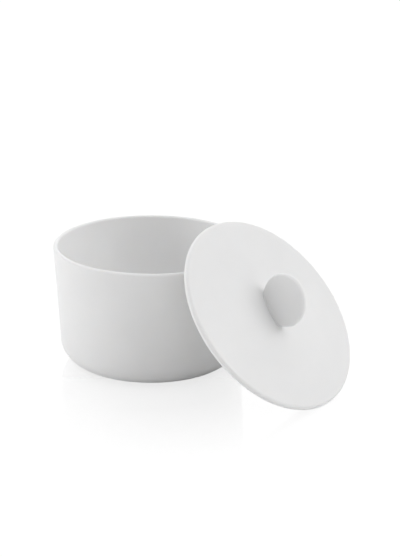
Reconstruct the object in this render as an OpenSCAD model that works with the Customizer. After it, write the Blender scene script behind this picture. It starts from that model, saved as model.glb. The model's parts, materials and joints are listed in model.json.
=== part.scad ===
// Lidded porcelain pot: a straight-sided bowl with its flat lid leaning against the rim.
// Millimetres. The origin is the centre of the foot's underside, +Z is up,
// and the lid leans over the rim on the +X side with its lower edge on the table.

/* [Bowl] */
// Outer diameter of the rim
rim_d = 100; // [90:1:110]
// Height from the table to the top of the rim
bowl_h = 61.8; // [56:0.1:68]
// Wall thickness at the rim, which is fully rounded
rim_w = 2.4; // [2:0.1:3]
// How far the outside of the wall leans from vertical, in degrees
wall_lean = 3.7; // [2.5:0.1:5]
// How far the inside of the wall leans from vertical, in degrees
inner_lean = 4.4; // [4:0.1:6]
// Radius of the rounded edge at the base, outside
base_round = 12.2; // [10:0.1:14]
// Radius of the rounded edge at the base, inside
inner_round = 9.5; // [8:0.1:11]
// Thickness of the bowl's floor
floor_t = 4; // [3.5:0.1:5]
// Height of the unglazed foot
foot_h = 1.2; // [0.8:0.1:1.6]

/* [Lid] */
// Diameter of the lid
lid_d = 104.5; // [103:0.5:108]
// Thickness of the lid's brim, whose edge is fully rounded
lid_t = 3.2; // [2.8:0.1:3.6]
// Thickness of the lid's middle, which sits inside the rim when the lid is on
mid_t = 4.4; // [4.2:0.1:4.6]
// Angle between the lid's axis and vertical as it leans, in degrees
lid_tilt = 48.4; // [46:0.1:52]
// Gap left between the leaning lid and the rim
lid_gap = 0.1; // [0.05:0.05:0.3]
// Outer diameter of the lid's thick middle and of the locating ring under it
ring_d = 92.4; // [88:0.2:92.4]
// Width of the locating ring's wall
ring_w = 3; // [2.5:0.1:5]
// How far the locating ring reaches below the brim
ring_h = 4; // [3.6:0.1:4.4]
// Radius of the rounded edges of the locating ring
ring_round = 1; // [0.5:0.1:1.2]

/* [Knob] */
// Diameter of the disc that the knob is cut from
knob_d = 26.6; // [24:0.2:28]
// Thickness of the knob at its middle
knob_t = 7.4; // [6.6:0.1:8]
// Radius of the knob's rounded edge
knob_round = 2; // [1.6:0.1:2.4]
// Height of the disc's centre above the lid
knob_h = 9.2; // [8:0.1:10.4]
// How far the knob's foot stands up the slope from the lid's centre
knob_up = 1.2; // [0:0.1:2]
// How far the knob's foot stands to the side of the lid's centre
knob_aside = 2.2; // [0:0.1:2.5]
// Angle between the knob's faces and the line up the lid's slope, in degrees
knob_turn = -11; // [-45:1:45]

/* [Hidden] */
$fn = 180;

rim_r = rim_d / 2;
lip_r = rim_w / 2;
lip_x = rim_r - lip_r;
lip_z = bowl_h - lip_r;

// Outside of the bowl: a straight wall that touches the round lip above and the
// round base edge below.
wall_k = cos(wall_lean) * lip_x - sin(wall_lean) * lip_z + lip_r;
base_x = (wall_k - base_round * (1 - sin(wall_lean))) / cos(wall_lean);
outline_pts = [
    [0, 0],
    [base_x, 0],
    [base_x + base_round * cos(wall_lean), base_round * (1 - sin(wall_lean))],
    [lip_x + lip_r * cos(wall_lean), lip_z - lip_r * sin(wall_lean)],
    [lip_x, lip_z],
    [0, lip_z]
];

// Inside of the bowl, found the same way.
cavity_k = cos(inner_lean) * lip_x - sin(inner_lean) * lip_z - lip_r;
round_z = floor_t + inner_round;
round_x = (cavity_k - inner_round + sin(inner_lean) * round_z) / cos(inner_lean);
cavity_pts = [
    [0, floor_t],
    [round_x, floor_t],
    [round_x + inner_round * cos(inner_lean), round_z - inner_round * sin(inner_lean)],
    [lip_x - lip_r * cos(inner_lean), lip_z + lip_r * sin(inner_lean)],
    [lip_x, lip_z],
    [lip_x, bowl_h + lip_r],
    [0, bowl_h + lip_r]
];

// Centre of the brim of the leaning lid: its round edge stands on the table and
// the underside of its middle meets the lip.
edge_r = lid_t / 2;
lid_r = lid_d / 2;
ring_r = ring_d / 2;
lid_z = (lid_r - edge_r) * sin(lid_tilt) + edge_r;
lean_k = lip_x * sin(lid_tilt) + lip_z * cos(lid_tilt) + lip_r + lid_gap + mid_t - edge_r;
lid_x = (lean_k - lid_z * cos(lid_tilt)) / sin(lid_tilt);

// Each face of the knob is an arc that runs smoothly into the round edge.
knob_r = knob_d / 2;
face_h = knob_t / 2;
tip_x = knob_r - knob_round;
face_r = (pow(tip_x, 2) + pow(face_h, 2) - pow(knob_round, 2)) / (2 * (face_h - knob_round));
blend_x = tip_x * (1 + knob_round / (face_r - knob_round));

// Half of the bowl's outside below the lip, as a filled outline.
module outline() {
    polygon(outline_pts);
    translate([base_x, base_round]) circle(base_round);
}

// Half of the space inside the bowl.
module cavity() {
    polygon(cavity_pts);
    translate([round_x, round_z]) circle(inner_round);
}

// Half of the bowl's wall and floor, with the round lip on top.
module wall_section() {
    difference() {
        outline();
        cavity();
    }
    translate([lip_x, lip_z]) circle(lip_r);
}

// The bowl, above its foot.
module bowl() {
    color("white")
        rotate_extrude() intersection() {
            wall_section();
            translate([0, foot_h]) square([rim_d, bowl_h]);
        }
}

// The unglazed foot that the bowl stands on, which carries on the round base edge.
module foot() {
    color("linen")
        rotate_extrude() intersection() {
            outline();
            square([rim_d, foot_h]);
        }
}

// Puts a piece made around the lid's own axis, with the brim's middle at z = 0,
// where the leaning lid is.
module on_lid() {
    translate([lid_x, 0, lid_z]) rotate([0, lid_tilt, 0]) children();
}

// The flat disc of the lid: a thin brim with a fully rounded edge, and a thicker middle.
module lid_plate() {
    color("white")
        on_lid() rotate_extrude() {
            translate([0, edge_r - mid_t]) square([ring_r, mid_t]);
            translate([0, -edge_r]) square([lid_r - edge_r, lid_t]);
            translate([lid_r - edge_r, 0]) circle(edge_r);
        }
}

// The ring under the lid that keeps it centred on the bowl.
module locating_ring() {
    tall = ring_h - (mid_t - lid_t);
    color("snow")
        on_lid() translate([0, 0, -edge_r - ring_h]) rotate_extrude() {
            translate([ring_r - ring_w, ring_round]) square([ring_w, tall - ring_round]);
            translate([ring_r - ring_w + ring_round, 0]) square([ring_w - 2 * ring_round, tall]);
            for (side = [ring_r - ring_w + ring_round, ring_r - ring_round])
                translate([side, ring_round]) circle(ring_round);
        }
}

// Half of the knob's section: two gently curved faces and a round edge.
module knob_section() {
    intersection() {
        translate([0, face_h - face_r]) circle(face_r, $fn = 720);
        translate([0, face_r - face_h]) circle(face_r, $fn = 720);
        translate([0, -face_h]) square([blend_x, knob_t]);
    }
    translate([tip_x, 0]) circle(knob_round);
}

// The knob: a pebble-like disc that stands on edge on the lid.
module knob() {
    color("white")
        on_lid() intersection() {
            translate([-knob_up, knob_aside, edge_r + knob_h])
                rotate([90, 0, knob_turn]) rotate_extrude() knob_section();
            translate([-knob_d, -knob_d, edge_r]) cube(2 * knob_d);
        }
}

bowl();
foot();
lid_plate();
locating_ring();
knob();
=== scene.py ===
import json
import math

import bmesh
import bpy
from mathutils import Matrix, Vector


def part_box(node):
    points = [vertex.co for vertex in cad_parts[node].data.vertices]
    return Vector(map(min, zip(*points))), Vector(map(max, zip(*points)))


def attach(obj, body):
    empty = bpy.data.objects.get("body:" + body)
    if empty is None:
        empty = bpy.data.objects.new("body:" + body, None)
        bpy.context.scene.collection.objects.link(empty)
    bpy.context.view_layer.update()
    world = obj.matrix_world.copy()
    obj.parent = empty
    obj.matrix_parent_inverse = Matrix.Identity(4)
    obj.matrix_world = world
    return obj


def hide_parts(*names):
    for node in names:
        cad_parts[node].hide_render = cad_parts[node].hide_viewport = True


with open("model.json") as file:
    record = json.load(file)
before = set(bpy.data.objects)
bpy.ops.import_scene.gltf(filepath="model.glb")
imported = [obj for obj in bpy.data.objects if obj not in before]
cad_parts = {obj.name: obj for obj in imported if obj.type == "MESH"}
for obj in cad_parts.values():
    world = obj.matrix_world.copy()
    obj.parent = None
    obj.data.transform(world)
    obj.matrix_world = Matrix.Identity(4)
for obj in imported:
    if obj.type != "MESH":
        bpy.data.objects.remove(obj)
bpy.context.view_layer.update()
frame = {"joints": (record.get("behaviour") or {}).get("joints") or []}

MM = 0.001

# ---------------------------------------------------------------- sizes


def corners(node):
    """Lowest and highest corner of a CAD node, as vectors."""
    return [Vector(corner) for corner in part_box(node)]


bowl_low, bowl_high = corners("bowl")
plate_low, plate_high = corners("lid_plate")

RIM_R = (bowl_high.y - bowl_low.y) / 2
BOWL_TOP = bowl_high.z
FOOT_TOP = corners("foot")[1].z

# The bowl's section, as the CAD has it.
LIP_R = 1.2 * MM
WALL_LEAN = math.radians(3.7)
INNER_LEAN = math.radians(4.4)
BASE_ROUND = 12.2 * MM
INNER_ROUND = 9.5 * MM
FLOOR_T = 4 * MM

# The lid's own axis is the way it lifts off. Its top faces along the axis.
LID_AXIS = Vector(frame["joints"][0]["axis"]).normalized()
LID_CENTRE = (plate_low + plate_high) / 2
LID_R = (plate_high.y - plate_low.y) / 2

# The lid's section, as the CAD has it. Heights are above the middle of the brim.
EDGE_R = 1.6 * MM
MID_LOW = -2.8 * MM
RING_R = 46.2 * MM
RING_W = 3 * MM
RING_LOW = -5.6 * MM
RING_ROUND = 1 * MM

# The knob, as the CAD has it, placed from the middle of the brim.
KNOB_T = 7.4 * MM
KNOB_R = 13.3 * MM
KNOB_ROUND = 2 * MM
KNOB_CENTRE = Vector((-1.2, 2.2, 10.8)) * MM
KNOB_TURN = math.radians(-11)

# Small beads of slip where the knob and the ring are joined to the lid.
KNOB_JOIN = 0.45 * MM
RING_JOIN = 0.7 * MM

# ---------------------------------------------------------------- outlines and meshes

# How finely the turned pieces are divided: around, and along a straight stretch.
TURNS = 256
STEP = 1.5 * MM
SAME_SPOT = 1e-6
ON_AXIS = 1e-7
SHARP_ANGLE = math.radians(40)


def arc(centre, radius, start, end, steps):
    """Points on an arc, as (across, up) pairs. Angles are in degrees, 0 pointing outwards."""
    points = []
    for i in range(steps + 1):
        angle = math.radians(start + (end - start) * i / steps)
        points.append((centre[0] + radius * math.cos(angle), centre[1] + radius * math.sin(angle)))
    return points


def joined(*stretches):
    """Joins stretches of points, with evenly spaced points along the straight gaps between them."""
    points = list(stretches[0])
    for stretch in stretches[1:]:
        start, end = points[-1], stretch[0]
        steps = max(1, round(math.dist(start, end) / STEP))
        for i in range(1, steps):
            points.append(tuple(a + (b - a) * i / steps for a, b in zip(start, end)))
        points += [point for point in stretch if math.dist(point, start) > SAME_SPOT]
    return points


def turned(outline):
    """A bmesh turned around Z from a closed outline of (radius, height) pairs."""
    mesh = bmesh.new()
    rings = []
    for radius, height in outline:
        count = TURNS if radius > ON_AXIS else 1
        spots = [2 * math.pi * i / TURNS for i in range(count)]
        rings.append([mesh.verts.new((radius * math.cos(a), radius * math.sin(a), height)) for a in spots])
    for low, high in zip(rings, rings[1:] + rings[:1]):
        if len(low) == len(high) == 1:
            continue
        for i in range(TURNS):
            j = (i + 1) % TURNS
            square = [low[i % len(low)], low[j % len(low)], high[j % len(high)], high[i % len(high)]]
            mesh.faces.new(dict.fromkeys(square))
    return mesh


def finished(name, mesh, place=None):
    """Turns a bmesh into an object with smooth shading and sharp corners, moved to its place."""
    bmesh.ops.recalc_face_normals(mesh, faces=mesh.faces[:])
    for face in mesh.faces:
        face.smooth = True
    if place is not None:
        mesh.transform(place)
    data = bpy.data.meshes.new(name)
    mesh.to_mesh(data)
    mesh.free()
    data.set_sharp_from_angle(angle=SHARP_ANGLE)
    piece = bpy.data.objects.new(name, data)
    bpy.context.scene.collection.objects.link(piece)
    return piece


down_slope = Vector((LID_AXIS.z, 0, -LID_AXIS.x))
lid_turn = Matrix((down_slope, LID_AXIS.cross(down_slope), LID_AXIS)).transposed().to_4x4()
LID_PLACE = Matrix.Translation(LID_CENTRE) @ lid_turn

# ---------------------------------------------------------------- the pieces

lip = (RIM_R - LIP_R, BOWL_TOP - LIP_R)
wall_k = math.cos(WALL_LEAN) * lip[0] - math.sin(WALL_LEAN) * lip[1] + LIP_R
base_centre = ((wall_k - BASE_ROUND * (1 - math.sin(WALL_LEAN))) / math.cos(WALL_LEAN), BASE_ROUND)
foot_angle = -math.degrees(math.asin(1 - FOOT_TOP / BASE_ROUND))


def make_bowl():
    """The bowl: up the outside from the foot, over the round lip and down the inside."""
    hollow_k = math.cos(INNER_LEAN) * lip[0] - math.sin(INNER_LEAN) * lip[1] - LIP_R
    round_z = FLOOR_T + INNER_ROUND
    round_x = (hollow_k - INNER_ROUND + math.sin(INNER_LEAN) * round_z) / math.cos(INNER_LEAN)
    outer, inner = math.degrees(WALL_LEAN), math.degrees(INNER_LEAN)
    outline = joined(
        [(0, FOOT_TOP)],
        arc(base_centre, BASE_ROUND, foot_angle, -outer, 28),
        arc(lip, LIP_R, -outer, 180 - inner, 28),
        arc((round_x, round_z), INNER_ROUND, -inner, -90, 24),
        [(0, FLOOR_T)],
    )
    return finished("bowl_body", turned(outline))


def make_foot():
    """The unglazed foot: a flat ground face whose side is set back by the glaze's thickness."""
    glaze_t = 0.12 * MM
    chamfer = 0.25 * MM
    side = arc(base_centre, BASE_ROUND - glaze_t, -80, foot_angle - 1, 6)
    outline = joined(
        [(0, 0)],
        [(side[0][0] - chamfer, 0), (side[0][0], side[0][1])],
        side[1:],
        [(side[-1][0] - glaze_t, FOOT_TOP)],
        [(0, FOOT_TOP)],
    )
    return finished("bowl_foot", turned(outline))


def make_plate():
    """The lid's disc: a thin brim with a fully rounded edge, and a thicker middle."""
    fillet = 0.4 * MM
    outline = joined(
        [(0, MID_LOW)],
        [(RING_R - RING_ROUND, MID_LOW), (RING_R, MID_LOW)],
        arc((RING_R + fillet, -EDGE_R - fillet), fillet, 180, 90, 8),
        arc((LID_R - EDGE_R, 0), EDGE_R, -90, 90, 32),
        [(0, EDGE_R)],
    )
    return finished("lid_disc", turned(outline), LID_PLACE)


def make_ring():
    """The locating ring under the lid, with rounded lower edges and a bead of slip inside its root."""
    inside = RING_R - RING_W
    outline = joined(
        arc((inside - RING_JOIN, MID_LOW - RING_JOIN), RING_JOIN, 90, 0, 8),
        arc((inside + RING_ROUND, RING_LOW + RING_ROUND), RING_ROUND, 180, 270, 12),
        arc((RING_R - RING_ROUND, RING_LOW + RING_ROUND), RING_ROUND, -90, 0, 12),
        [(RING_R, MID_LOW)],
        [(inside - RING_JOIN, MID_LOW)],
    )[:-1]
    return finished("lid_locating_ring", turned(outline), LID_PLACE)


def make_knob():
    """The knob: a disc that stands on edge, cut off by the lid, with a bead of slip around its foot."""
    half = KNOB_T / 2
    tip = KNOB_R - KNOB_ROUND
    face_r = (tip**2 + half**2 - KNOB_ROUND**2) / (2 * (half - KNOB_ROUND))
    blend = math.degrees(math.atan2(face_r - half, tip))
    face = arc((0, half - face_r), face_r, 90, blend, 24)
    edge = arc((tip, 0), KNOB_ROUND, blend, -blend, 32)
    outline = joined(face, edge, [(x, -z) for x, z in reversed(face)])
    mesh = turned(outline)
    upright = Matrix.Rotation(KNOB_TURN, 4, "Z") @ Matrix.Rotation(math.radians(90), 4, "X")
    mesh.transform(Matrix.Translation(KNOB_CENTRE) @ upright)
    cut_z = EDGE_R + KNOB_JOIN
    everything = mesh.verts[:] + mesh.edges[:] + mesh.faces[:]
    bmesh.ops.bisect_plane(
        mesh, geom=everything, plane_co=(0, 0, cut_z), plane_no=(0, 0, 1), clear_inner=True
    )
    add_bead(mesh)
    return finished("lid_knob", mesh, LID_PLACE)


def add_bead(mesh):
    """Closes a mesh that is open below with a hollow curve that flares out onto the lid."""
    rim = [edge for edge in mesh.edges if edge.is_boundary]
    loop = [rim[0].verts[0]]
    step = rim[0]
    while True:
        following = step.other_vert(loop[-1])
        if following is loop[0]:
            break
        loop.append(following)
        step = next(e for e in following.link_edges if e.is_boundary and e is not step)
    centre = sum((v.co for v in loop), Vector()) / len(loop)
    outward = []
    for i, vert in enumerate(loop):
        along = loop[(i + 1) % len(loop)].co - loop[i - 1].co
        normal = Vector((along.y, -along.x, 0)).normalized()
        outward.append(normal if normal.dot(vert.co - centre) > 0 else -normal)
    starts = [vert.co.copy() for vert in loop]
    steps = 8
    for k in range(1, steps + 1):
        angle = math.radians(90 * k / steps)
        reach = KNOB_JOIN * (1 - math.cos(angle))
        drop = KNOB_JOIN * math.sin(angle)
        ring = [
            mesh.verts.new(start + way * reach - Vector((0, 0, drop)))
            for start, way in zip(starts, outward)
        ]
        for i in range(len(loop)):
            j = (i + 1) % len(loop)
            mesh.faces.new([loop[i], loop[j], ring[j], ring[i]])
        loop = ring
    mesh.faces.new(loop)


# ---------------------------------------------------------------- materials

IOR = 1.5

# The glaze: the size and depth of its marks, their tones and its roughness.
CLOUD_SIZE = 22 * MM
CLOUD_TONES = (0.985, 1.012)
GRAIN_SIZE = 0.35 * MM
GRAIN_TONE = 0.965
GRAIN_DEPTH = 0.0025 * MM
RIPPLE_SIZE = 4.5 * MM
RIPPLE_DEPTH = 0.010 * MM
PINHOLE_SPACING = 5 * MM
PINHOLE_SIZE = 0.035
PINHOLE_DEPTH = 0.015 * MM
GLAZE_ROUGHNESS = (0.40, 0.50)

# The bare porcelain, the same way.
STAIN_SIZE = 14 * MM
STAIN_TONE = 0.96
BARE_GRAIN_SIZE = 0.5 * MM
BARE_GRAIN_TONE = 0.965
BARE_GRAIN_DEPTH = 0.005 * MM
TURNING_SCALE = 260
TURNING_DEPTH = 0.015 * MM
BARE_ROUGHNESS = (0.68, 0.82)


class Nodes:
    """A short way to write a node tree."""

    def __init__(self, tree):
        self.tree = tree
        tree.nodes.clear()

    def add(self, kind, **values):
        """Adds a node. A value that is an output socket is linked, and any other is set."""
        node = self.tree.nodes.new(kind)
        for name, value in values.items():
            if hasattr(node, name) and not isinstance(value, bpy.types.NodeSocket):
                setattr(node, name, value)
                continue
            socket = node.inputs[name.replace("_", " ")]
            if isinstance(value, bpy.types.NodeSocket):
                self.tree.links.new(value, socket)
            else:
                socket.default_value = value
        return node

    def noise(self, where, size, detail=2.0, roughness=0.5):
        """Noise whose features are about size metres across."""
        node = self.add(
            "ShaderNodeTexNoise", Vector=where, Scale=1 / size, Detail=detail, Roughness=roughness
        )
        return node.outputs["Fac"]

    def between(self, fac, low, high, start=0.3, end=0.7):
        """Maps the stretch of a factor from start to end onto the numbers from low to high."""
        node = self.add("ShaderNodeMapRange", Value=fac)
        node.inputs["From Min"].default_value = start
        node.inputs["From Max"].default_value = end
        node.inputs["To Min"].default_value = low
        node.inputs["To Max"].default_value = high
        return node.outputs["Result"]

    def mix(self, fac, low, high):
        """Mixes two colours, each a colour or an output socket."""
        node = self.add("ShaderNodeMix", data_type="RGBA", Factor=fac)
        for socket, value in zip((node.inputs[6], node.inputs[7]), (low, high)):
            if isinstance(value, bpy.types.NodeSocket):
                self.tree.links.new(value, socket)
            else:
                socket.default_value = (*value, 1)
        return node.outputs[2]

    def bump(self, height, depth, under=None):
        """A bump of depth metres, on top of another one if given."""
        node = self.add("ShaderNodeBump", Height=height, Distance=depth, Strength=1.0)
        if under is not None:
            self.tree.links.new(under, node.inputs["Normal"])
        return node.outputs["Normal"]


def new_material(name):
    """A new material, its node tree and the coordinates of the piece that wears it."""
    material = bpy.data.materials.new(name)
    material.use_nodes = True
    nodes = Nodes(material.node_tree)
    where = nodes.add("ShaderNodeTexCoord").outputs["Object"]
    return material, nodes, where


def glaze(name, white, shift):
    """Satin-matt white glaze: faint clouding, a soft ripple, fine grain and a few pinholes."""
    material, nodes, where = new_material(name)
    moved = nodes.add("ShaderNodeMapping", Vector=where)
    moved.inputs["Location"].default_value = shift
    where = moved.outputs["Vector"]

    cloud = nodes.noise(where, CLOUD_SIZE, detail=3)
    grain = nodes.noise(where, GRAIN_SIZE, detail=2)
    dark, light = [tuple(c * shade for c in white) for shade in CLOUD_TONES]
    tone = nodes.mix(nodes.between(cloud, 0, 1), dark, light)
    fleck = tuple(c * GRAIN_TONE for c in white)
    colour = nodes.mix(nodes.between(grain, 0, 1, 0.62, 0.8), tone, fleck)

    ripple = nodes.noise(where, RIPPLE_SIZE, detail=1)
    holes = nodes.add("ShaderNodeTexVoronoi", Vector=where, Scale=1 / PINHOLE_SPACING).outputs["Distance"]
    hole = nodes.between(holes, 0, 1, 0, PINHOLE_SIZE)
    normal = nodes.bump(ripple, RIPPLE_DEPTH)
    normal = nodes.bump(grain, GRAIN_DEPTH, normal)
    normal = nodes.bump(hole, PINHOLE_DEPTH, normal)

    rough = nodes.between(nodes.noise(where, 8 * MM, detail=3), *GLAZE_ROUGHNESS)
    shader = nodes.add("ShaderNodeBsdfPrincipled", Roughness=rough, Normal=normal)
    nodes.tree.links.new(colour, shader.inputs["Base Color"])
    shader.inputs["IOR"].default_value = IOR
    shader.inputs["Subsurface Weight"].default_value = 0.12
    shader.inputs["Subsurface Radius"].default_value = (1.0, 0.9, 0.8)
    shader.inputs["Subsurface Scale"].default_value = 1.5 * MM
    nodes.add("ShaderNodeOutputMaterial", Surface=shader.outputs["BSDF"])
    return material


def bare(name, white, turning):
    """Unglazed porcelain: dry, fine-grained, with faint rings from turning around Z."""
    material, nodes, where = new_material(name)
    grain = nodes.noise(where, BARE_GRAIN_SIZE, detail=4, roughness=0.65)
    stain = nodes.noise(where, STAIN_SIZE, detail=4)
    stained, fleck = [tuple(c * shade for c in white) for shade in (STAIN_TONE, BARE_GRAIN_TONE)]
    tone = nodes.mix(nodes.between(stain, 0, 1), stained, white)
    colour = nodes.mix(nodes.between(grain, 0, 1, 0.5, 0.75), tone, fleck)
    normal = nodes.bump(grain, BARE_GRAIN_DEPTH)
    if turning:
        rings = nodes.add("ShaderNodeTexWave", Vector=where, wave_type="RINGS", rings_direction="Z")
        rings.inputs["Scale"].default_value = TURNING_SCALE
        rings.inputs["Distortion"].default_value = 0.6
        normal = nodes.bump(rings.outputs["Fac"], TURNING_DEPTH, normal)
    rough = nodes.between(stain, *BARE_ROUGHNESS)
    shader = nodes.add("ShaderNodeBsdfPrincipled", Roughness=rough, Normal=normal)
    nodes.tree.links.new(colour, shader.inputs["Base Color"])
    shader.inputs["IOR"].default_value = IOR
    nodes.add("ShaderNodeOutputMaterial", Surface=shader.outputs["BSDF"])
    return material


WHITE = (0.87, 0.87, 0.87)
BARE_WHITE = (0.80, 0.785, 0.755)

# ---------------------------------------------------------------- assembly

PIECES = [
    (make_bowl(), "bowl", "bowl", "bowl_glaze", glaze("bowl_glaze", WHITE, (0, 0, 0))),
    (make_foot(), "foot", "bowl", "bare_foot", bare("bare_foot", BARE_WHITE, True)),
    (make_plate(), "lid_plate", "lid", "lid_glaze", glaze("lid_glaze", WHITE, (0.31, 0.07, 0.12))),
    (make_ring(), "locating_ring", "lid", "bare_ring", bare("bare_ring", BARE_WHITE, False)),
    (make_knob(), "knob", "lid", "knob_glaze", glaze("knob_glaze", WHITE, (0.11, 0.23, 0.41))),
]
for piece, node, body, slot, material in PIECES:
    piece.data.materials.append(material)
    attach(piece, body)
    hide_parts(node)

# ---------------------------------------------------------------- table


def make_table():
    """A large white table. Its gloss, which mirrors the pot, fades out around it."""
    mesh = bmesh.new()
    bmesh.ops.create_circle(mesh, cap_ends=True, segments=96, radius=TABLE_R)
    table = finished("table", mesh)
    table.location.z = -TABLE_GAP
    material, nodes, where = new_material("table_white")
    speck = nodes.noise(where, 3 * MM, detail=3)
    away = nodes.add("ShaderNodeVectorMath", operation="DISTANCE")
    nodes.tree.links.new(where, away.inputs[0])
    away.inputs[1].default_value = GLOSS_CENTRE
    shine = nodes.between(away.outputs["Value"], 1, 0, *GLOSS_FADE)
    rough = nodes.between(speck, 0.78, 0.84)

    # What lights the pot is a plain white surface. What the camera sees is lifted to a clean
    # white, as a studio picture is.
    plain = nodes.add("ShaderNodeBsdfPrincipled", Roughness=rough)
    plain.inputs["Base Color"].default_value = (TABLE_WHITE,) * 3 + (1,)
    plain.inputs["Specular IOR Level"].default_value = 0
    clean = nodes.add("ShaderNodeBsdfPrincipled", Roughness=rough)
    clean.inputs["Base Color"].default_value = (0.08, 0.08, 0.08, 1)
    clean.inputs["Specular IOR Level"].default_value = 0
    clean.inputs["Emission Color"].default_value = (1, 1, 1, 1)
    clean.inputs["Emission Strength"].default_value = TABLE_GLOW
    clean.inputs["Coat Roughness"].default_value = 0.01
    clean.inputs["Coat IOR"].default_value = 1.8
    nodes.tree.links.new(shine, clean.inputs["Coat Weight"])
    seen = nodes.add("ShaderNodeLightPath").outputs["Is Camera Ray"]
    both = nodes.add("ShaderNodeMixShader")
    nodes.tree.links.new(seen, both.inputs[0])
    nodes.tree.links.new(plain.outputs["BSDF"], both.inputs[1])
    nodes.tree.links.new(clean.outputs["BSDF"], both.inputs[2])
    nodes.add("ShaderNodeOutputMaterial", Surface=both.outputs["Shader"])
    table.data.materials.append(material)


# ---------------------------------------------------------------- light and camera

# Soft panels around the pot: azimuth, elevation, spread and strength. Azimuth 0 is behind the
# camera, 90 is to its right and 180 is beyond the pot. Spread is the angle at which a panel's
# light has died away. FILL comes evenly from all round, and BACKDROP is what is behind the pot.
PANELS = [
    (270, 6, 45, 2.7),
    (180, 44, 45, 1.6),
    (84, 33, 38, 1.95),
    (12, 66, 45, 0.8),
]
FILL = 0.15
BACKDROP = 1.05

# The table's radius and the hair's breadth that keeps it clear of the foot, its white, the glow
# that lifts it for the camera, and where its gloss fades out, measured from under the pot's front.
TABLE_R = 4.0
TABLE_GAP = 0.02 * MM
TABLE_WHITE = 0.92
TABLE_GLOW = 0.95
GLOSS_CENTRE = Vector((14, -22, 0)) * MM
GLOSS_FADE = (45 * MM, 118 * MM)

CAMERA_AZIMUTH = 35.84
CAMERA_ELEVATION = 18.97
CAMERA_ROLL = 0.5
CAMERA_DISTANCE = 952.5 * MM
CAMERA_TARGET = Vector((12.5, 25.3, 38.4)) * MM
CAMERA_LENS = 118


def towards(azimuth, elevation):
    """The direction that points at an azimuth and elevation, azimuth 0 being -Y and 90 being +X."""
    a, e = math.radians(azimuth), math.radians(elevation)
    return Vector((math.sin(a) * math.cos(e), -math.cos(a) * math.cos(e), math.sin(e)))


def make_light():
    """The studio: a sum of soft panels painted on the world, and a plain white room in reflections."""
    world = bpy.data.worlds.new("studio")
    world.use_nodes = True
    bpy.context.scene.world = world
    nodes = Nodes(world.node_tree)
    way = nodes.add("ShaderNodeTexCoord").outputs["Generated"]
    total = None
    for azimuth, elevation, spread, strength in PANELS:
        facing = nodes.add("ShaderNodeVectorMath", operation="DOT_PRODUCT")
        nodes.tree.links.new(way, facing.inputs[0])
        facing.inputs[1].default_value = towards(CAMERA_AZIMUTH + azimuth, elevation)
        panel = nodes.add("ShaderNodeMapRange", interpolation_type="SMOOTHSTEP")
        nodes.tree.links.new(facing.outputs["Value"], panel.inputs["Value"])
        panel.inputs["From Min"].default_value = math.cos(math.radians(spread))
        panel.inputs["From Max"].default_value = 1
        panel.inputs["To Min"].default_value = 0
        panel.inputs["To Max"].default_value = strength
        so_far = nodes.add("ShaderNodeMath", operation="ADD")
        nodes.tree.links.new(panel.outputs["Result"], so_far.inputs[0])
        if total is not None:
            nodes.tree.links.new(total, so_far.inputs[1])
        else:
            so_far.inputs[1].default_value = FILL
        total = so_far.outputs["Value"]
    light = nodes.add("ShaderNodeBackground", Strength=total)
    backdrop = nodes.add("ShaderNodeBackground", Strength=BACKDROP)
    light.inputs["Color"].default_value = backdrop.inputs["Color"].default_value = (1, 1, 1, 1)
    path = nodes.add("ShaderNodeLightPath")
    seen = nodes.add("ShaderNodeMath", operation="ADD")
    nodes.tree.links.new(path.outputs["Is Camera Ray"], seen.inputs[0])
    nodes.tree.links.new(path.outputs["Is Glossy Ray"], seen.inputs[1])
    both = nodes.add("ShaderNodeMixShader")
    nodes.tree.links.new(seen.outputs["Value"], both.inputs[0])
    nodes.tree.links.new(light.outputs["Background"], both.inputs[1])
    nodes.tree.links.new(backdrop.outputs["Background"], both.inputs[2])
    nodes.add("ShaderNodeOutputWorld", Surface=both.outputs["Shader"])


def make_camera():
    """A long lens that looks down a little at the pot, with the leaning lid on its right."""
    data = bpy.data.cameras.new("camera")
    data.sensor_width = 36
    data.lens = CAMERA_LENS
    data.clip_start = 0.01
    data.clip_end = 20
    camera = bpy.data.objects.new("camera", data)
    bpy.context.scene.collection.objects.link(camera)
    back = towards(CAMERA_AZIMUTH, CAMERA_ELEVATION)
    turn = (-back).to_track_quat("-Z", "Y").to_matrix().to_4x4()
    roll = Matrix.Rotation(math.radians(CAMERA_ROLL), 4, "Z")
    camera.matrix_world = Matrix.Translation(CAMERA_TARGET + back * CAMERA_DISTANCE) @ turn @ roll
    bpy.context.scene.camera = camera


make_table()
make_light()
make_camera()
bpy.context.scene.view_settings.view_transform = "Standard"
